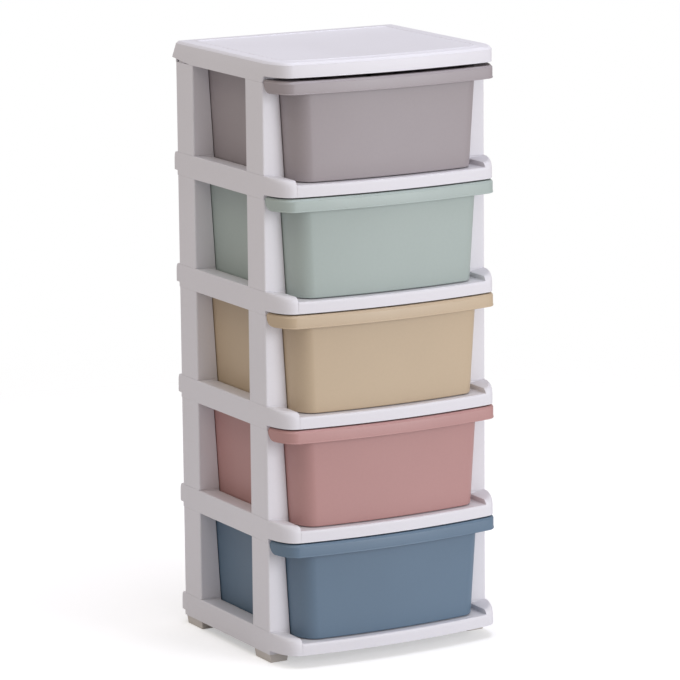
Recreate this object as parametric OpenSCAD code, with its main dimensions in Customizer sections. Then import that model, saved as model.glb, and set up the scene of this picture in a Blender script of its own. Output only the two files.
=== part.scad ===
// Plastic drawer tower: five bowed drawers in a frame of plug-together mouldings.
// Millimetres. +Z is up, the front faces -Y, and the origin is the middle of the footprint on the floor.
//
// Five equal boards are stacked on four corner posts per tier. Each post plugs into a collar of the
// board under it and of the board over it. The lowest board stands on four plug-in feet, and a closed
// top board covers the stack. A drawer rests on two runners in the sunk floor of its board, between
// two side rails, and pulls straight out to the front.

/* [Frame] */
// Overall width of the frame
tower_w = 350; // [310:5:400]
// Depth over the posts, from front face to rear face
frame_d = 256; // [220:4:300]
// Height of a post between two boards
post_h = 127.5; // [100:2.5:160]
// Height of a drawer board at its sides
board_h = 32.5; // [30:0.5:38]
// Height of the top board at its sides
top_h = 30.5; // [27:0.5:36]
// Height of the feet under the lowest board
foot_h = 12.5; // [8:0.5:24]
// Wall of the frame mouldings
frame_wall = 2.4; // [1.8:0.1:3]

/* [Posts] */
// Size of a post from front to back
post_d = 50; // [44:1:60]
// Thickness of a post at its top, across the tower
post_t = 25; // [22:0.5:30]
// Radius on the upright edges of a post
post_edge_r = 2.5; // [1:0.5:4]
// Thickness of the cross ribs in a post
post_rib = 1.6; // [1.2:0.1:2.4]

/* [Boards] */
// How far the middle of a board bows out ahead of the posts
bow_reach = 59; // [50:1:70]
// How much further the middle reaches than the corners
bow_rise = 16.5; // [8:0.5:24]
// Width of a rounded front corner
corner_w = 23; // [18:1:28]
// How far the rear lip stands behind the posts
rear_lip = 12; // [8:0.5:16]
// How far the front apron ends above the side walls of a board
apron_lift = 6.5; // [6:0.1:8]
// How far the rear lip ends above the side walls of a board
lip_lift = 5.7; // [5.5:0.1:8]
// Depth of the sunk drawer floor below the outer edge of the rails
floor_drop = 9.5; // [8:0.5:12]
// How far the top of a rail falls towards the drawer
rail_fall = 3.5; // [1:0.5:5]
// How much wider the drawer floor is on each side in front of the posts
mouth_flare = 5.5; // [0.5:0.5:8]
// Radius along the front edge of the drawer floor
ledge_r = 3; // [2:0.5:6]
// Height of the two runners that carry a drawer
runner_h = 1; // [0.5:0.1:2]
// Width of a runner
runner_w = 7; // [4:0.5:12]
// Distance of a runner from the middle of the tower
runner_x = 92; // [60:2:115]
// Thickness of the ribs under a board
board_rib = 1.8; // [1.2:0.1:2.4]
// Depth of the ribs under a board
rib_depth = 6; // [3:0.5:9]
// How far the drawer stop stands ahead of the rear faces of the rear posts
rear_stop = 2.4; // [2:0.1:4]

/* [Top board] */
// Width of the slope round the top board
top_slope_w = 3; // [2:0.5:6]
// Height of the slope round the top board
top_slope_h = 4.5; // [3:0.5:7]
// Width of the border round the sunk top panel
top_border = 19; // [10:1:24]
// Radius of the rear corners of the sunk top panel
panel_r = 8; // [4:1:16]
// Depth of the sunk top panel
panel_drop = 1.2; // [0.6:0.1:1.6]
// How far the front apron ends above the side walls of the top board
top_apron_lift = 9; // [7:0.5:10]

/* [Plugs and feet] */
// Width of a plug, across the tower
plug_w = 18; // [14:0.5:18.5]
// Size of a plug from front to back
plug_d = 34; // [28:1:36]
// Length of a plug
plug_l = 11; // [7:0.5:12.5]
// Wall of a plug and of the collar round it
plug_wall = 2.2; // [1.6:0.1:2.6]
// Clearance round a plug in its collar
plug_clear = 0.2; // [0.1:0.05:0.4]
// How far a foot stands in from the edges of the post above it
foot_inset = 1.5; // [0.5:0.5:3]

/* [Drawers] */
// Wall of a drawer
drawer_wall = 2.2; // [1.8:0.1:2.8]
// Slope of the drawer sides, in degrees from upright
side_draft = 3.2; // [1:0.2:4]
// Slope of the drawer front, in degrees from upright
front_draft = 2.5; // [1:0.1:3]
// Slope of the drawer back, in degrees from upright
back_draft = 1.2; // [0.4:0.1:1.4]
// Clearance between a drawer and the posts and rails beside it
side_clear = 1.2; // [0.8:0.1:2]
// Clearance between a drawer and the stop behind it
back_clear = 1; // [0.5:0.1:2]
// Clearance between a drawer and its runners
floor_clear = 0.3; // [0.2:0.05:0.6]
// How far the drawer front stands back from the edge of its board
front_setback = 12; // [9:0.5:16]
// Width of the rounded front corners of a drawer
drawer_corner = 24; // [16:1:30]
// Radius of the rear corners of a drawer
drawer_rear_r = 14; // [10:1:20]
// Radius round the bottom of a drawer
drawer_bottom_r = 4; // [3.5:0.5:10]

/* [Drawer lip] */
// How far the lip stands out past the edge of the boards
lip_over = 4; // [2:0.5:6]
// How far the lip reaches down over the drawer front
lip_down = 13.5; // [10:0.5:18]
// How far the lip reaches up under the board above
lip_up = 4.5; // [3:0.1:4.8]
// Radius along the top edge of the lip
lip_edge_r = 2.8; // [1:0.2:3.4]
// Gap between the ends of the lip and the posts
lip_end_gap = 3.5; // [2:0.5:6]
// Radius of the lower corner at each end of the lip
lip_end_r = 14; // [8:1:14]

/* [Hidden] */
TIERS = 5;
SIDES = ["left", "right"];
ENDS = ["front", "rear"];

FRAME_COLOUR = [0.90, 0.89, 0.92];
FOOT_COLOUR = [0.80, 0.77, 0.74];
// Drawer colours from the bottom tier to the top one
DRAWER_COLOURS = [
    [0.36, 0.47, 0.58],
    [0.73, 0.51, 0.50],
    [0.82, 0.73, 0.57],
    [0.66, 0.75, 0.69],
    [0.63, 0.60, 0.61]
];

// Steps that a rounded front corner and the long bow between the corners are drawn in
CORNER_STEPS = 6;
BOW_STEPS = 10;
// Steps that the rounded cheeks beside a drawer are drawn in; the hollow behind them takes half as many
CHEEK_STEPS = 6;
// Exponent of the cheeks: 2 is an ellipse, more is squarer
CHEEK_POWER = 5;
REAR_R = 2; // radius of the rear corners of the boards
RAIL_LAND = 1; // width of the level strip along the outer edge of a rail
APRON_PROUD = 0.4; // how far the apron stands ahead of the cheeks
OVER = 1; // how far a cut runs past the surface it opens
BITE = 0.4; // how far a rib is sunk into the wall that carries it

half_w = tower_w / 2;
pitch = post_h + board_h;
lip_reach = bow_reach + lip_over;
// Depth position of the front faces of the posts, which centres the tower on the origin
front_y = (lip_reach - frame_d - rear_lip) / 2;

// Drawer sizes at a height above the edge of its board
drawer_bottom = runner_h - floor_drop + floor_clear;
drawer_top = post_h + lip_up;
function drawer_half(z) = half_w - post_t - side_clear - (post_h - z) * tan(side_draft);
function drawer_reach(z) = bow_reach - front_setback + (z - drawer_bottom) * tan(front_draft);
function drawer_rear(z) = frame_d - rear_stop - back_clear + (z - drawer_bottom) * tan(back_draft);
// Inner face of a post, parallel to the drawer side
function post_inner(z) = drawer_half(z) + side_clear;
channel_half = post_inner(0);
mouth_half = channel_half + mouth_flare;

// Plugs sit in the middle of a post's side, against its outer wall
plug_x = half_w - frame_wall - plug_wall - plug_clear - plug_w / 2 + BITE;
collar_web = frame_wall;

/* Outlines. Y = 0 is the front face of the posts, and the rounded front lies ahead of it. */

// Reach of the bow at a place across the tower, from its reach in the middle
function bow(x, reach) = reach - bow_rise * pow(x / half_w, 2);

// One point of a rounded front corner, from 0 degrees at the side to 90 where the bow starts
function corner_point(half, reach, corner, share, side, angle) =
    let (x = half - corner + corner * cos(angle))
    [side * x, -share * bow(x, reach) * sin(angle)];

// Points of a front edge from left to right. share is 1 for the full reach, 0 for a straight edge.
function front_edge(half, reach, corner, share = 1) = concat(
    [for (i = [0 : CORNER_STEPS]) corner_point(half, reach, corner, share, -1, 90 * i / CORNER_STEPS)],
    [
        for (i = [1 : BOW_STEPS - 1])
        let (x = (half - corner) * (2 * i / BOW_STEPS - 1))
        [x, -share * bow(x, reach)]
    ],
    [for (i = [CORNER_STEPS : -1 : 0]) corner_point(half, reach, corner, share, 1, 90 * i / CORNER_STEPS)]
);

// Quarter circle from start to start + 90 degrees
function quarter(x, y, r, start, steps = 4) =
    [for (i = [0 : steps]) [x + r * cos(start + 90 * i / steps), y + r * sin(start + 90 * i / steps)]];

// Closed outline with a rounded front and rear corners of radius r
function body_outline(half, reach, corner, rear, r, share = 1) = concat(
    front_edge(half, reach, corner, share),
    quarter(half - r, rear - r, r, 0),
    quarter(r - half, rear - r, r, 90)
);

// Solid spanned over closed outlines at rising heights, given as [z, outline] pairs. Every outline has
// the same number of points, and each band between two outlines is a ring of triangles.
module loft(levels) {
    count = len(levels[0][1]);
    last = (len(levels) - 1) * count;
    polyhedron(
        points = [for (level = levels) for (point = level[1]) [point[0], point[1], level[0]]],
        faces = concat(
            [[for (i = [0 : count - 1]) i]],
            [
                for (band = [0 : len(levels) - 2])
                for (i = [0 : count - 1])
                let (a = band * count + i, b = band * count + (i + 1) % count)
                each [[a, a + count, b + count], [a, b + count, b]]
            ],
            [[for (i = [count - 1 : -1 : 0]) last + i]]
        )
    );
}

// A profile given as [y, z] points, drawn out across the tower
module across(from_x, to_x, points) {
    translate([from_x, 0, 0])
        rotate([90, 0, 90])
            linear_extrude(to_x - from_x)
                polygon(points);
}

// A profile given as [x, z] points, drawn out from front to back
module along(from_y, to_y, points) {
    translate([0, to_y, 0])
        rotate([90, 0, 0])
            linear_extrude(to_y - from_y)
                polygon(points);
}

module box(low, high) {
    translate(low)
        cube(high - low);
}

// Copies of a piece on the left and on the right
module both_sides() {
    children();
    mirror([1, 0, 0])
        children();
}

/* Boards. Z = 0 is the outer top edge of the side rails. */

// Outline of a board, shrunk by inset. share is how far its front and its rear lip reach out.
function board_outline(inset, share) = body_outline(
    half_w - inset, bow_reach - inset, corner_w, frame_d + rear_lip * share - inset, REAR_R, share
);

// Whole board with rounded cheeks in front and a rounded lip behind
module board_block(inset) {
    steps = inset > 0 ? CHEEK_STEPS / 2 : CHEEK_STEPS;
    height = board_h - apron_lift - inset;
    loft(concat(
        [[-board_h - (inset > 0 ? OVER : 0), board_outline(inset, 1)]],
        [
            for (i = [0 : steps])
            let (angle = 90 * i / steps, lift = pow(sin(angle), 2 / CHEEK_POWER))
            [-inset - height * (1 - lift), board_outline(inset, pow(cos(angle), 2 / CHEEK_POWER))]
        ]
    ));
}

// Cross-section of a board: two rails with falling tops beside a sunk floor of this half width
function board_section(inset, half) =
    let (
        inner = half + inset,
        slope = rail_fall / (half_w - RAIL_LAND - channel_half),
        inner_z = (half - half_w + RAIL_LAND) * slope - inset,
        edge = half_w + OVER,
        edge_z = (OVER + RAIL_LAND) * slope - inset,
        low = -2 * board_h
    )
    [
        [-edge, low], [edge, low],
        [edge, edge_z], [inner, inner_z], [inner, -floor_drop - inset],
        [-inner, -floor_drop - inset], [-inner, inner_z], [-edge, edge_z]
    ];

// Outline of the apron, standing back from its full reach
function apron_outline(inset, back) =
    let (edge = mouth_half + inset, reach = bow_reach + APRON_PROUD - inset)
    concat(
        [for (i = [0 : BOW_STEPS]) let (x = edge * (2 * i / BOW_STEPS - 1)) [x, back - bow(x, reach)]],
        [[edge, post_d / 2], [-edge, post_d / 2]]
    );

// Front edge of the sunk floor between the cheeks: an upright apron under a rounded edge
module apron(inset) {
    top = -floor_drop - inset;
    loft(concat(
        [[(inset > 0 ? -OVER : OVER) - board_h, apron_outline(inset, 0)]],
        [
            for (angle = [0 : 30 : 90])
            [top - ledge_r * (1 - sin(angle)), apron_outline(inset, ledge_r * (1 - cos(angle)))]
        ]
    ));
}

// Outer form of a board at inset 0; with an inset it is the hollow under the board
module board_form(inset) {
    stop = frame_d - rear_stop + inset;
    intersection() {
        board_block(inset);
        union() {
            along(-tower_w, stop + OVER, board_section(inset, mouth_half));
            along(inset, stop + OVER, board_section(inset, channel_half));
            box([-tower_w, stop, -2 * board_h], [tower_w, 2 * frame_d, OVER]);
        }
    }
    apron(inset);
}

// Collar for the plug of a post or a foot
module collar(bottom, top) {
    w = plug_w / 2 + plug_clear + plug_wall;
    d = plug_d / 2 + plug_clear + plug_wall;
    translate([plug_x, post_d / 2, 0])
        box([-w, -d, bottom], [w, d, top]);
}

module socket(bottom, top) {
    w = plug_w / 2 + plug_clear;
    d = plug_d / 2 + plug_clear;
    translate([plug_x, post_d / 2, 0])
        box([-w, -d, bottom], [w, d, top]);
}

// The four corners of the frame, given a piece made for the front right one
module four_corners() {
    both_sides() {
        children();
        translate([0, frame_d, 0])
            mirror([0, 1, 0])
                children();
    }
}

// Level seat for a post on the falling rail
module plinth() {
    box([post_inner(0), 0, -rail_fall - frame_wall], [half_w, post_d, 0]);
}

// Wall over the face of a post, up to the raised apron or lip
module corner_wall(bottom, lift) {
    box([post_inner(post_h), 0, bottom], [half_w - BITE, frame_wall, bottom + lift + BITE]);
}

// Room under a raised apron in front and a raised lip behind
module undercut(bottom, front_lift, rear_lift) {
    box([-tower_w, -tower_w, bottom - OVER], [tower_w, 0, bottom + front_lift]);
    box([-tower_w, frame_d, bottom - OVER], [tower_w, 2 * frame_d, bottom + rear_lift]);
}

// Ribs under the sunk floor, lengthways and crossways
module board_ribs() {
    top = -floor_drop - frame_wall + BITE;
    bottom = -floor_drop - frame_wall - rib_depth;
    for (x = [-runner_x, 0, runner_x])
        box(
            [x - board_rib / 2, frame_wall / 2 - bow(x, bow_reach), bottom],
            [x + board_rib / 2, frame_d - frame_wall / 2, top]
        );
    for (y = [post_d + board_rib, frame_d / 2, frame_d - post_d - board_rib])
        box(
            [frame_wall - BITE - half_w, y - board_rib / 2, bottom],
            [half_w - frame_wall + BITE, y + board_rib / 2, top]
        );
}

module drawer_board() {
    difference() {
        union() {
            difference() {
                board_form(0);
                board_form(frame_wall);
                undercut(-board_h, apron_lift, lip_lift);
            }
            four_corners() {
                plinth();
                collar(-board_h, -frame_wall);
                corner_wall(-board_h, max(apron_lift, lip_lift));
            }
            board_ribs();
            for (x = [-runner_x, runner_x])
                box(
                    [x - runner_w / 2, 0, -floor_drop - BITE],
                    [x + runner_w / 2, frame_d - rear_stop, runner_h - floor_drop]
                );
        }
        four_corners() {
            socket(-board_h - OVER, -(board_h + collar_web) / 2);
            socket(-(board_h - collar_web) / 2, OVER);
        }
    }
}

// Outline of the top board. share is how far its rear lip reaches out.
function top_outline(inset, share) = body_outline(
    half_w - inset, bow_reach - inset, corner_w, frame_d + rear_lip * share - inset, REAR_R
);

// Outer form of the top board at inset 0; with an inset it is the hollow under the board. Its rear lip
// slants out from the shoulder down to its lower edge.
module top_form(inset) {
    shoulder = top_h - top_slope_h - inset / 2;
    slope = top_slope_w + inset / 2;
    loft([
        [inset > 0 ? -OVER : 0, top_outline(inset, 1)],
        [lip_lift, top_outline(inset, 1)],
        [shoulder, top_outline(inset, 0)],
        [top_h - inset, top_outline(slope, 0)]
    ]);
}

// Collar of the top board, joined to its deck inside the slope round the edge
module top_collar() {
    collar(0, top_h - top_slope_h);
    box(
        [plug_x - plug_w / 2, plug_wall, top_h - top_slope_h - BITE],
        [half_w - top_slope_w - frame_wall, post_d - plug_wall, top_h - frame_wall + BITE]
    );
}

module top_board() {
    edge = top_slope_w + top_border;
    color(FRAME_COLOUR)
        translate([0, front_y, foot_h + TIERS * pitch])
            difference() {
                union() {
                    difference() {
                        top_form(0);
                        top_form(frame_wall);
                        undercut(0, top_apron_lift, lip_lift);
                    }
                    four_corners() {
                        top_collar();
                        corner_wall(0, max(top_apron_lift, lip_lift));
                    }
                }
                four_corners()
                    socket(-OVER, plug_l + collar_web);
                translate([0, 0, top_h - panel_drop])
                    linear_extrude(panel_drop + OVER)
                        polygon(body_outline(
                            half_w - edge, bow_reach - edge, corner_w, frame_d - edge, panel_r
                        ));
            }
}

// A board of the stack: 0 is the base board
module stacked_board(level) {
    color(FRAME_COLOUR)
        translate([0, front_y, foot_h + board_h + level * pitch])
            drawer_board();
}

/* Posts and feet, made for the front right corner. Z = 0 is the seat of the post. */

module plug(bottom, top) {
    translate([plug_x, post_d / 2, 0])
        difference() {
            box([-plug_w / 2, -plug_d / 2, bottom], [plug_w / 2, plug_d / 2, top]);
            box(
                [plug_wall - plug_w / 2, plug_wall - plug_d / 2, bottom - OVER],
                [plug_w / 2 - plug_wall, plug_d / 2 - plug_wall, top + OVER]
            );
        }
}

// An open channel: an outer wall, two flanges that follow the drawer's slope, end plates and ribs
module post() {
    r = post_edge_r;
    difference() {
        intersection() {
            along(0, post_d, [
                [post_inner(0), 0], [half_w, 0], [half_w, post_h], [post_inner(post_h), post_h]
            ]);
            linear_extrude(post_h)
                polygon(concat(
                    [[0, 0]],
                    quarter(half_w - r, r, r, 270),
                    quarter(half_w - r, post_d - r, r, 0),
                    [[0, post_d]]
                ));
        }
        difference() {
            along(frame_wall, post_d - frame_wall, [
                [0, frame_wall], [half_w - frame_wall, frame_wall],
                [half_w - frame_wall, post_h - frame_wall], [0, post_h - frame_wall]
            ]);
            for (share = [1 / 4, 1 / 2, 3 / 4])
                box(
                    [post_inner(share * post_h) + post_rib, 0, share * post_h - post_rib / 2],
                    [half_w, post_d, share * post_h + post_rib / 2]
                );
        }
    }
    plug(-plug_l, BITE);
    plug(post_h - BITE, post_h + plug_l);
}

// A tapered cup with the plug standing in its middle
module foot() {
    inner = post_inner(0);
    difference() {
        loft([[0, foot_outline(inner, 2 * foot_inset)], [foot_h, foot_outline(inner, foot_inset)]]);
        box(
            [inner + 2 * foot_inset + frame_wall, 2 * foot_inset + frame_wall, frame_wall],
            [half_w - 2 * foot_inset - frame_wall, post_d - 2 * foot_inset - frame_wall, foot_h + OVER]
        );
    }
    plug(frame_wall - BITE, foot_h + plug_l);
}

function foot_outline(inner, inset) = [
    [inner + inset, inset],
    [half_w - inset, inset],
    [half_w - inset, post_d - inset],
    [inner + inset, post_d - inset]
];

// Puts a corner piece at its end and side of the frame
module at_corner(end, side, z) {
    translate([0, front_y + (end == "rear" ? frame_d - post_d : 0), z])
        mirror([side == "left" ? 1 : 0, 0, 0])
            children();
}

module stacked_post(end, side, tier) {
    color(FRAME_COLOUR)
        at_corner(end, side, foot_h + board_h + (tier - 1) * pitch)
            post();
}

module plug_foot(end, side) {
    color(FOOT_COLOUR)
        at_corner(end, side, 0)
            foot();
}

/* Drawers. Z = 0 is the outer top edge of the rails of the board that carries the drawer. */

function drawer_outline(z, inset) = body_outline(
    drawer_half(z) - inset,
    drawer_reach(z) - inset,
    drawer_corner - inset,
    drawer_rear(z) - inset,
    drawer_rear_r - inset
);

// Body of a drawer, wider at the top, with a rounded bottom edge
module tub(inset) {
    bottom = drawer_bottom + inset;
    top = drawer_top + (inset > 0 ? OVER : 0);
    r = drawer_bottom_r - inset;
    loft(concat(
        [
            for (angle = [0 : 30 : 90])
            let (z = bottom + r * (1 - cos(angle)))
            [z, drawer_outline(z, inset + r * (1 - sin(angle)))]
        ],
        [[top, drawer_outline(top, inset)]]
    ));
}

function lip_outline(inset) = concat(
    front_edge(half_w - inset, lip_reach - inset, corner_w),
    [[half_w - inset, post_d / 2], [inset - half_w, post_d / 2]]
);

// Form of the handle lip, with a rounded upper edge
module lip_form(inset) {
    top = drawer_top - inset;
    loft(concat(
        [[post_h - lip_down - (inset > 0 ? OVER : 0), lip_outline(inset)]],
        [
            for (angle = [0 : 30 : 90])
            [top - lip_edge_r * (1 - sin(angle)), lip_outline(inset + lip_edge_r * (1 - cos(angle)))]
        ]
    ));
}

// Side view that trims the ends of the lip: square above, rounded below
function lip_end_section() =
    let (low = post_h - lip_down)
    concat(
        [[-tower_w, drawer_top + OVER], [-tower_w, low]],
        quarter(-lip_end_gap - lip_end_r, low + lip_end_r, lip_end_r, 270),
        [[-lip_end_gap, drawer_top + OVER]]
    );

module drawer(tier) {
    color(DRAWER_COLOURS[tier - 1])
        translate([0, front_y, foot_h + board_h + (tier - 1) * pitch])
            difference() {
                union() {
                    tub(0);
                    intersection() {
                        difference() {
                            lip_form(0);
                            lip_form(drawer_wall);
                        }
                        across(-tower_w, tower_w, lip_end_section());
                    }
                }
                tub(drawer_wall);
            }
}

top_board();
stacked_board(0);  // base_board
for (level = [1 : TIERS - 1])
    stacked_board(level);
for (tier = [1 : TIERS])
    for (end = ENDS)
        for (side = SIDES)
            stacked_post(end, side, tier);
for (end = ENDS)
    for (side = SIDES)
        plug_foot(end, side);
for (tier = [1 : TIERS])
    drawer(tier);
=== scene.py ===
import math

import bmesh
import bpy
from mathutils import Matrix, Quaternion, Vector


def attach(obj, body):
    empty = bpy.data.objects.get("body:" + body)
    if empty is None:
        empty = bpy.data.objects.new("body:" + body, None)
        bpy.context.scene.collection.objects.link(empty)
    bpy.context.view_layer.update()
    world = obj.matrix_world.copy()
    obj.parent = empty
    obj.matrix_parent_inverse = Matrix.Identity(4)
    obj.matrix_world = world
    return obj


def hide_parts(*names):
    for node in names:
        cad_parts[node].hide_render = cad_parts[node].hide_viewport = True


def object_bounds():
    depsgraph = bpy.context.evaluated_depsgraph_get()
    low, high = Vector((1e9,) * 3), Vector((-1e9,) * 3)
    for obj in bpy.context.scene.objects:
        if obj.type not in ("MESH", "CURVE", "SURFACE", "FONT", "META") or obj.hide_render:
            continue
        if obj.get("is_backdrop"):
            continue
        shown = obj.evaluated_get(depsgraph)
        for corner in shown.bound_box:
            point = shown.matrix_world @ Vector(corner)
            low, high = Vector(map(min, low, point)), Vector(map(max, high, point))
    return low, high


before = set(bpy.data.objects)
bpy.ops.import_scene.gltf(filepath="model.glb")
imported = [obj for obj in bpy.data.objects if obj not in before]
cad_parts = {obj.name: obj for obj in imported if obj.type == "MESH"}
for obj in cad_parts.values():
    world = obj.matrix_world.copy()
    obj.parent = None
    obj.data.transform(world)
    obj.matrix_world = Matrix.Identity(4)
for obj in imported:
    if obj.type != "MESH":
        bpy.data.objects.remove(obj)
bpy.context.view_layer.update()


# ---- Room, camera and lamps ---------------------------------------------------------------------
# A pale floor that fades into white, a long lens from the front left at about eye level, and soft
# lamps: a large low one ahead on the right, and two overhead in an even, warm room.

SENSOR_MM, LENS_MM = 36, 218.62
LENS_SHIFT_X, LENS_SHIFT_Y = -0.0933, 0.0230
NEAR, FAR = 0.1, 60
CAMERA_PLACE, CAMERA_TARGET = (-2.77752, -4.98291, 1.56702), (0, -0.1758, 0.43038)
CAMERA_ROLL = math.radians(-0.3926)
WHITE = (1, 1, 1, 1)
AMBIENT_COLOUR, AMBIENT_STRENGTH = (1.0, 0.93, 0.90, 1), 0.51
LAMP_TARGET = (0, 0, 0.45)

scene = bpy.context.scene
scene.view_settings.view_transform = "Standard"

camera_data = bpy.data.cameras.new("long_lens")
camera_data.sensor_width, camera_data.lens = SENSOR_MM, LENS_MM
camera_data.shift_x, camera_data.shift_y = LENS_SHIFT_X, LENS_SHIFT_Y
camera_data.clip_start, camera_data.clip_end = NEAR, FAR
camera = bpy.data.objects.new("camera", camera_data)
camera.location = CAMERA_PLACE
facing = (Vector(CAMERA_TARGET) - camera.location).to_track_quat("-Z", "Y")
camera.rotation_mode = "QUATERNION"
camera.rotation_quaternion = facing @ Quaternion((0, 0, 1), CAMERA_ROLL)
scene.collection.objects.link(camera)
scene.camera = camera


def node(tree, kind, **settings):
    """Adds a node. A setting named like an input fills it, and the rest are properties."""
    made = tree.nodes.new(kind)
    for key, value in settings.items():
        socket = made.inputs.get(key.replace("_", " "))
        if socket is None:
            setattr(made, key, value)
        elif isinstance(value, bpy.types.NodeSocket):
            tree.links.new(value, socket)
        else:
            socket.default_value = value
    return made


def light_path_share(tree, *rays):
    """1 for a ray of one of these kinds, otherwise 0."""
    path = node(tree, "ShaderNodeLightPath")
    total = path.outputs[rays[0]]
    for ray in rays[1:]:
        more = node(tree, "ShaderNodeMath", operation="MAXIMUM")
        tree.links.new(total, more.inputs[0])
        tree.links.new(path.outputs[ray], more.inputs[1])
        total = more.outputs[0]
    return total


world = bpy.data.worlds.new("studio")
scene.world = world
world.use_nodes = True
sky = world.node_tree
sky.nodes.clear()
ambient = node(sky, "ShaderNodeBackground", Color=AMBIENT_COLOUR, Strength=AMBIENT_STRENGTH)
seen_white = node(sky, "ShaderNodeBackground", Color=WHITE, Strength=1)
sky_mix = node(sky, "ShaderNodeMixShader")
sky.links.new(light_path_share(sky, "Is Camera Ray", "Is Transmission Ray"), sky_mix.inputs[0])
sky.links.new(ambient.outputs[0], sky_mix.inputs[1])
sky.links.new(seen_white.outputs[0], sky_mix.inputs[2])
sky_out = node(sky, "ShaderNodeOutputWorld")
sky.links.new(sky_mix.outputs[0], sky_out.inputs["Surface"])


def lamp(name, place, size, power, colour):
    """A square soft box that faces the tower, with its side in metres and its power in watts."""
    data = bpy.data.lights.new(name, "AREA")
    data.size = size
    data.energy = power
    data.color = colour
    made = bpy.data.objects.new(name, data)
    made.location = place
    made.rotation_mode = "QUATERNION"
    made.rotation_quaternion = (Vector(LAMP_TARGET) - Vector(place)).to_track_quat("-Z", "Y")
    scene.collection.objects.link(made)


lamp("key_lamp", place=(1.6, -3.4, 1.2), size=1.6, power=66, colour=(0.92, 0.95, 1.0))
lamp("side_lamp", place=(-2.0, -0.4, 3.4), size=1.2, power=14, colour=(1.0, 0.96, 0.80))
lamp("top_lamp", place=(0.2, -0.3, 3.2), size=1.8, power=36, colour=(0.76, 0.82, 1.0))

# The floor is a disc that is solid near the tower and fades out towards its edge
FLOOR_RADIUS, FLOOR_SIDES = 2.4, 96
FLOOR_SOLID, FLOOR_GONE = 0.9, 2.2
FLOOR_COLOUR, FLOOR_GLOW = (0.80, 0.80, 0.80, 1), 0.42
floor_mesh = bpy.data.meshes.new("floor")
disc = bmesh.new()
bmesh.ops.create_circle(disc, cap_ends=True, radius=FLOOR_RADIUS, segments=FLOOR_SIDES)
disc.to_mesh(floor_mesh)
disc.free()
floor = bpy.data.objects.new("floor", floor_mesh)
scene.collection.objects.link(floor)
floor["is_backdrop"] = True

pale_floor = bpy.data.materials.new("pale_floor")
pale_floor.use_nodes = True
tree = pale_floor.node_tree
tree.nodes.clear()
place = node(tree, "ShaderNodeTexCoord").outputs["Object"]
reach = node(tree, "ShaderNodeVectorMath", operation="LENGTH")
tree.links.new(place, reach.inputs[0])
fade = node(tree, "ShaderNodeMapRange", interpolation_type="SMOOTHSTEP")
fade.inputs["From Min"].default_value = FLOOR_SOLID
fade.inputs["From Max"].default_value = FLOOR_GONE
tree.links.new(reach.outputs["Value"], fade.inputs["Value"])
paper = node(tree, "ShaderNodeBsdfDiffuse", Color=FLOOR_COLOUR)
glow = node(tree, "ShaderNodeEmission", Color=WHITE)
lift = node(tree, "ShaderNodeMath", operation="MULTIPLY")
tree.links.new(light_path_share(tree, "Is Camera Ray", "Is Transmission Ray"), lift.inputs[0])
lift.inputs[1].default_value = FLOOR_GLOW
tree.links.new(lift.outputs[0], glow.inputs["Strength"])
lit = node(tree, "ShaderNodeAddShader")
tree.links.new(paper.outputs[0], lit.inputs[0])
tree.links.new(glow.outputs[0], lit.inputs[1])
clear = node(tree, "ShaderNodeBsdfTransparent")
blend = node(tree, "ShaderNodeMixShader")
tree.links.new(fade.outputs[0], blend.inputs[0])
tree.links.new(lit.outputs[0], blend.inputs[1])
tree.links.new(clear.outputs[0], blend.inputs[2])
out = node(tree, "ShaderNodeOutputMaterial")
tree.links.new(blend.outputs[0], out.inputs["Surface"])
floor_mesh.materials.append(pale_floor)


# ---- Feet ---------------------------------------------------------------------------------------
# Four plug-in feet: tapered cups moulded in a warmer grey plastic than the frame. A hollow plug
# stands in the middle of each and is pushed up into the collar of the base board.

MM = 0.001
HALF_W = 175.0
FRAME_D = 256.0
FRONT_Y = -102.5  # depth position of the front faces of the posts
FOOT_H = 12.5
FRAME_WALL = 2.4
POST_D = 50.0
POST_H = 127.5
BOARD_H = 32.5
PITCH = POST_H + BOARD_H
POST_T = 25.0
SIDE_CLEAR = 1.2
SIDE_DRAFT = math.radians(3.2)
FOOT_INSET = 1.5
PLUG_W, PLUG_D, PLUG_L, PLUG_WALL, PLUG_CLEAR = 18.0, 34.0, 11.0, 2.2, 0.2
BITE = 0.4  # how far a piece of a moulding is sunk into its neighbour
PLUG_X = HALF_W - FRAME_WALL - PLUG_WALL - PLUG_CLEAR - PLUG_W / 2 + BITE
FOOT_EDGE, EDGE_SEGMENTS = 0.9, 3
SHARP = math.radians(38)
MERGED, DEGENERATE = 2e-6, 1e-6  # metres


def drawer_half(z):
    """Half the width of a drawer at a height over the foot of the posts beside it."""
    return HALF_W - POST_T - SIDE_CLEAR - (POST_H - z) * math.tan(SIDE_DRAFT)


def post_inner(z):
    """Inner edge of a post at a height over its foot; it leans with the side of the drawer."""
    return drawer_half(z) + SIDE_CLEAR


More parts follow.
